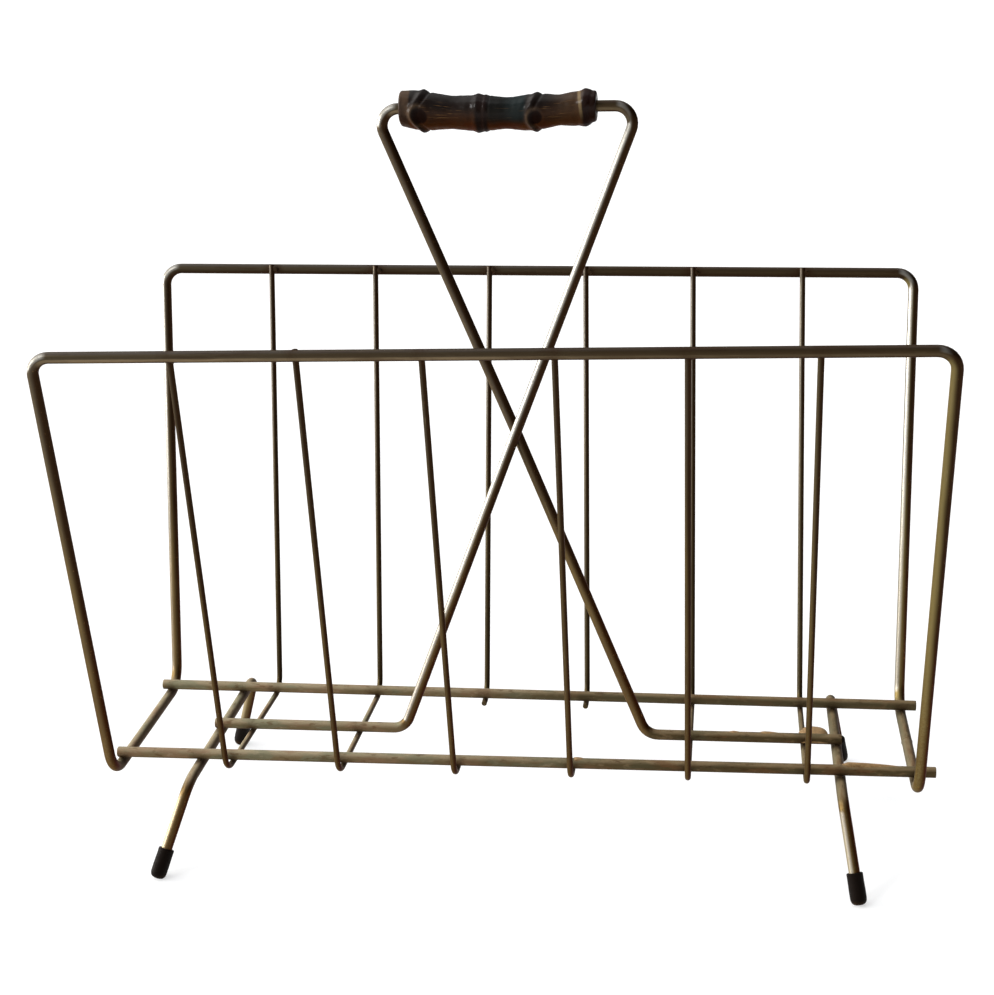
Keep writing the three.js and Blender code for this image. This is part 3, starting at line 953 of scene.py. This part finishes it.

# %% Paint highlights on the steep wires
# Painted highlight: a bright line down each straight steep wire, on its side towards the window and
# a little up.
painted_highlight = leftward.between(0.0, 0.6) * upward.between(-0.05, 0.07) * upward.between(0.55, 0.4)
painted_highlight = painted_highlight * (0.65 + 0.35 * speckle.between(0.3, 0.5)) * (1 - 0.7 * thin_rear)
painted_highlight = painted_highlight * (0.6 + 0.4 * height.between(90 * MM, 220 * MM)) * steep.between(0.8, 0.9)
painted_highlight = painted_highlight * (1 - rear * left_part * height.between(200 * MM, 90 * MM) * 0.7)
steep_colour = painted(
    steep_colour,
    (painted_highlight, 0.9, rgb(206, 203, 195)),
    # Painted shade: a dark rim at the outer edge of the painted highlight.
    (leftward.between(0.8, 0.93) * painted_highlight, 0.85, rgb(80, 72, 58)),
    (thin_wire, 0.35, rgb(34, 22, 10)),
    # Painted shade: the rear wires between the rear arms turn dark and greenish towards the floor,
    # inside the rack.
    (thin_rear * height.between(240 * MM, 60 * MM), 0.5, rgb(28, 30, 20)))
print(len(tree.nodes), "nodes")

# %% [markdown]
# The two top rails lie level. Dust and a painted sheen grey their upper sides, and painted
# shade darkens their undersides and the rear rail below its top. Between they are brown, with
# darker stains, and the front rail has a paler line low on its side, most of all on the left.

# %% Colour the top rails
def painted_window_light(right, left):
    """A colour that runs from the right end of the rack to the left end. The left one is lighter:
    painted light from the window.
    """
    return left_part.tint(rgb(*right), rgb(*left))


low_line = upward.between(-0.05, -0.3) * upward.between(-0.85, -0.6) * (1 - rear)
low_line = low_line * (0.25 + 0.75 * left_part) * (0.6 + 0.4 * long_patch.between(0.4, 0.55))
# Painted sheen on top, painted shade below, and lighter towards the window end as painted light.
rail = painted(
    painted_window_light((60, 48, 32), (70, 61, 47)),
    (upward.between(0.4, 0.85), 0.85, painted_window_light((60, 50, 42), (72, 67, 63))),
    (low_line, 0.9, rgb(132, 114, 88)),
    (rear * upward.between(0.3, -0.5), 1, rgb(46, 34, 20)),
    (upward.between(-0.66, -0.85), 1, rgb(42, 24, 12)),
    (long_patch.between(0.52, 0.66), 0.4, rgb(48, 32, 20)))
print(len(tree.nodes), "nodes")

# %% [markdown]
# The wires of the floor carry dust and a painted sheen on their upper sides. Patches of
# green and of red brown lie among it, and so do small spots, some pale and some dark. Their
# sides towards the window get painted light, their undersides and right sides painted shade,
# and all of it is painted lighter towards the left end.

# %% Colour the wires of the floor
dust_and_sheen = upward.between(0.3 - 0.4 * left_part, 0.85) * (0.5 + 0.5 * speckle)
patch = laid.scaled(0.3, 1, 1).noise(6 * MM, 3, 0.55)
top_side = rightward.between(-0.75, -0.1) * rightward.between(0.45, 0.0) * upward.between(0.6, 0.9)
# Dust with a painted sheen on top, painted light on the window side, painted shade below and on the
# right.
low = painted(
    painted_window_light((80, 66, 42), (124, 107, 77)),
    (dust_and_sheen, 1, painted_window_light((132, 113, 84), (163, 149, 122))),
    (patch.between(0.52, 0.64), 0.6, painted_window_light((78, 72, 50), (124, 126, 100))),
    (patch.between(0.47, 0.36), 0.6, painted_window_light((102, 72, 46), (144, 114, 88))),
    (spots.between(0.55, 0.7), 0.4, painted_window_light((140, 116, 84), (176, 160, 132))),
    (spots.between(0.45, 0.32), 0.6, painted_window_light((60, 40, 20), (92, 68, 42))),
    (upward.between(-0.35, -0.8), 0.8, rgb(84, 64, 32)),
    (leftward.between(0.1, 0.8), 0.75, painted_window_light((128, 118, 92), (166, 156, 128))),
    (rear * (1 - left_part) * (1 - top_side), 0.5, rgb(84, 78, 56)),
    (rightward.between(0.15, 0.75), 0.85, rgb(54, 34, 16)))
print(len(tree.nodes), "nodes")

# %% [markdown]
# Height and steepness tell which of the three colourings a point gets. Over them lie a
# painted highlight on the upper bends and another on the window side of the feet, and the
# marks of use and heat: fine scratches, and a dark scorch around every weld.

# %% Join the colours, paint highlights on them and wear them
is_steep = steep.between(0.35, 0.8)
# Painted highlight: a pale spot on the upper bends where they face the window and the front.
bend = facing.towards((-0.3, -0.78, 0.55)).between(0.72, 0.97)
bend = bend * height.between(200 * MM, 220 * MM) * steep.between(0.99, 0.8) * steep.between(0, 0.35)
# Painted highlight: the low end of each leg, on its side towards the window.
painted_foot_highlight = (leftward - 0.35 * sideways.between(-150 * MM, 150 * MM)).between(0, 0.7)
painted_foot_highlight = painted_foot_highlight * height.between(42 * MM, 32 * MM) * steep.between(0.55, 0.8)
scratches = streaks.between(0.6, 0.74) * long_patch.between(0.5, 0.35)
scratches = scratches * rightward.between(0.1, -0.3)
scorched = (heated + speckle * 0.5 - 0.25).between(0.35, 0.95)
colour = painted(
    is_steep.tint(near_floor.tint(rail, low), steep_colour),
    (bend, 0.8, rgb(150, 148, 142)),
    (painted_foot_highlight, 0.65, rgb(190, 174, 138)),
    (scratches, 0.45, rgb(182, 162, 118)),
    (scorched, 0.6, rgb(50, 31, 18)))
print(len(tree.nodes), "nodes")

# %% Give the brass its sheen and its relief
dusty = near_floor * (1 - is_steep) * (0.4 + 0.6 * dust_and_sheen)
roughness = 0.33 + long_patch * 0.14 + dusty * 0.25 - scratches * 0.08 + heated * 0.12
relief = speckle * 0.5 + streaks * 0.4 + spots * dusty
feed_shader(brass, Base_Color=colour, Metallic=0.8 - dusty * 0.7, Roughness=roughness,
            Normal=relief.bump(0.3, 0.1 * MM))
for piece in [*wires.values(), welds, seam]:
    piece.data.materials.append(brass)
print("aged brass takes", len(tree.nodes), "nodes")

# %% [markdown]
# ## Braze
# The brazing rod was a yellower brass than the plating and was never plated, so its lumps are
# a dull tan with darker pits. The streaks of the wires would look wrong on it, so it gets a
# plainer finish, whose noise is the same in all directions.

# %% Mix the braze
rod, tree = new_finish("dull_braze", Specular_IOR_Level=0.2)
upward = make_node(tree, "NewGeometry", output=NORMAL).part(2)
pits = stored(tree, "laid_out").noise(1.8 * MM, 4, 0.65)
# Painted light and shade: the lumps are lighter on top and darker underneath.
colour = painted(
    pits.between(0.35, 0.65).tint(rgb(104, 78, 44), rgb(152, 120, 78)),
    (upward.between(0.3, 0.9), 0.5, rgb(164, 132, 92)),
    (upward.between(-0.2, -0.7), 1, rgb(66, 46, 24)))
feed_shader(rod, Base_Color=colour, Roughness=0.45 + pits * 0.25,
            Normal=pits.bump(0.4, 0.2 * MM))
braze.data.materials.append(rod)
print("braze takes", len(tree.nodes), "nodes")

# %% [markdown]
# ## Rubber
# The caps are black rubber, dull and a little warm in tone. The floor has scuffed the rim of
# each sole brown. The scuff depends only on the height above the floor, so it is worked out
# from that and broken up with noise.

# %% Mix the rubber
OBJECT_PLACE = 3
rubber, tree = new_finish(
    "black_rubber", Specular_IOR_Level=0.12, Specular_Tint=(0.6, 0.5, 0.42))
grime = make_node(tree, "TexCoord", output=OBJECT_PLACE).noise(2.5 * MM, 4, 0.6)
height = make_node(tree, "NewGeometry", output=POSITION).part(2)
scuffed = height.between(4 * MM, 0.5 * MM) * grime.between(0.35, 0.65)
feed_shader(rubber, Base_Color=scuffed.tint(rgb(15, 9, 7), rgb(66, 46, 28)),
            Roughness=0.5 + grime * 0.25, Normal=grime.bump(0.3, 0.15 * MM))
for cap in caps:
    cap.data.materials.append(rubber)
print("rubber takes", len(tree.nodes), "nodes")

# %% [markdown]
# ## Bamboo
# The root is stained nearly black, with a painted grey sheen along its top, and shows orange
# brown below, under a thin coat of wax. Its middle segment is the darkest, with a painted
# blue-green sheen on its upper part. Dark rings run round the nodes, and the scars are almost
# black with a paler rim. The skin stored where its nodes and scars are when it was shaped, and
# the finish reads that, so the colour can't slip away from the shape.

# %% Read the skin of the bamboo
bamboo, tree = new_finish(
    "dark_bamboo", Coat_Roughness=0.21, Specular_IOR_Level=0.05, Specular_Tint=WARM_SHEEN)
laid = stored(tree, "laid_out")
marks = stored(tree, "marks")
scar, scar_rim, ring = (marks.part(i) for i in range(3))
# Along the grip from 0 to 1, and how far a point lies to the top and to the front, 1 at most.
along = laid.part(0) * (1 / grip_length)
upright, frontward = (laid.part(i) * (1 / SKIN_GRID) for i in (1, 2))
grain = laid.scaled(0.06, 1, 1).noise(0.8 * MM, 3, 0.6)
blotch = laid.noise(9 * MM, 3, 0.6)
pores = laid.noise(0.7 * MM, 3, 0.7)
print("bamboo starts with", len(tree.nodes), "nodes")

# %% Stain the bamboo
def around(value, middle, reach):
    """1 where a value is near the middle, falling to 0 at reach from it."""
    return abs(value - middle).between(reach, reach * 0.3)


uneven = (blotch - 0.5) * 0.5
underside = 0 - upright - uneven
blotched = blotch.between(0.4, 0.6)
pale_end = along.between(0.72, 0.92) * along.between(0.95, 0.93)
middle_segment = along.between(0.43, 0.47) * along.between(0.66, 0.63)
middle_segment = middle_segment * upright.between(-0.75, -0.2)
fibres = grain.between(0.58, 0.7) * around(upright, 0.05, 0.7) * frontward.between(0.2, 0.7)
after_scar = around(along, 0.22, 0.16).or_more(around(along, 0.82, 0.13))
# Painted sheen: greyer towards the top, and blue-green on the upper part of the middle segment.
colour = painted(
    (upright + uneven).between(0.5, 0.9).tint(rgb(24, 14, 10), rgb(40, 36, 34)),
    (underside.between(-0.45, 0.3), 1, rgb(62, 36, 18)),
    (underside.between(0.25, 1.0), 1, blotched.tint(rgb(104, 48, 12), rgb(118, 66, 24))),
    (pale_end, 0.4, rgb(92, 66, 40)),
    (middle_segment, 0.9, along.between(0.5, 0.6).tint(rgb(14, 15, 12), rgb(20, 32, 33))),
    (fibres, 0.15 + 0.75 * after_scar, rgb(132, 96, 56)))
print(len(tree.nodes), "nodes")

# %% Mark the nodes and the scars
double_node = along.between(0.395, 0.41) * along.between(0.455, 0.44)
last_band, first_band = along.between(0.93, 0.945), along.between(0.06, 0.045)
pale_line = around(along + upright * 0.012, 0.925, 0.012) * upright.between(-0.75, 0.1)
scar_pit = (scar * 1.3 + uneven).between(0.35, 0.9)
colour = painted(
    colour,
    (ring, 0.9, rgb(18, 8, 5)),
    (double_node, 0.8, rgb(30, 15, 10)),
    (last_band, 0.85, rgb(34, 14, 8)),
    (pale_line, 0.7, rgb(128, 108, 76)),
    (first_band, 0.75, blotched.tint(rgb(64, 50, 42), rgb(84, 64, 48))),
    (scar_rim, 0.6, rgb(104, 84, 66)),
    (scar_pit, 0.95, rgb(22, 6, 3)))
print(len(tree.nodes), "nodes")

# %% Wax the bamboo
waxed = (upright + grain * 0.3).between(-0.6, 0.5) * upright.between(1, 0.6)
relief = grain * 0.6 + pores * ring
feed_shader(bamboo, Base_Color=colour, Coat_Weight=waxed * 0.25 * (1 - scar * 0.7),
            Roughness=0.38 + grain * 0.2, Normal=relief.bump(0.35, 0.12 * MM))
grip.data.materials.append(bamboo)
print("bamboo takes", len(tree.nodes), "nodes")
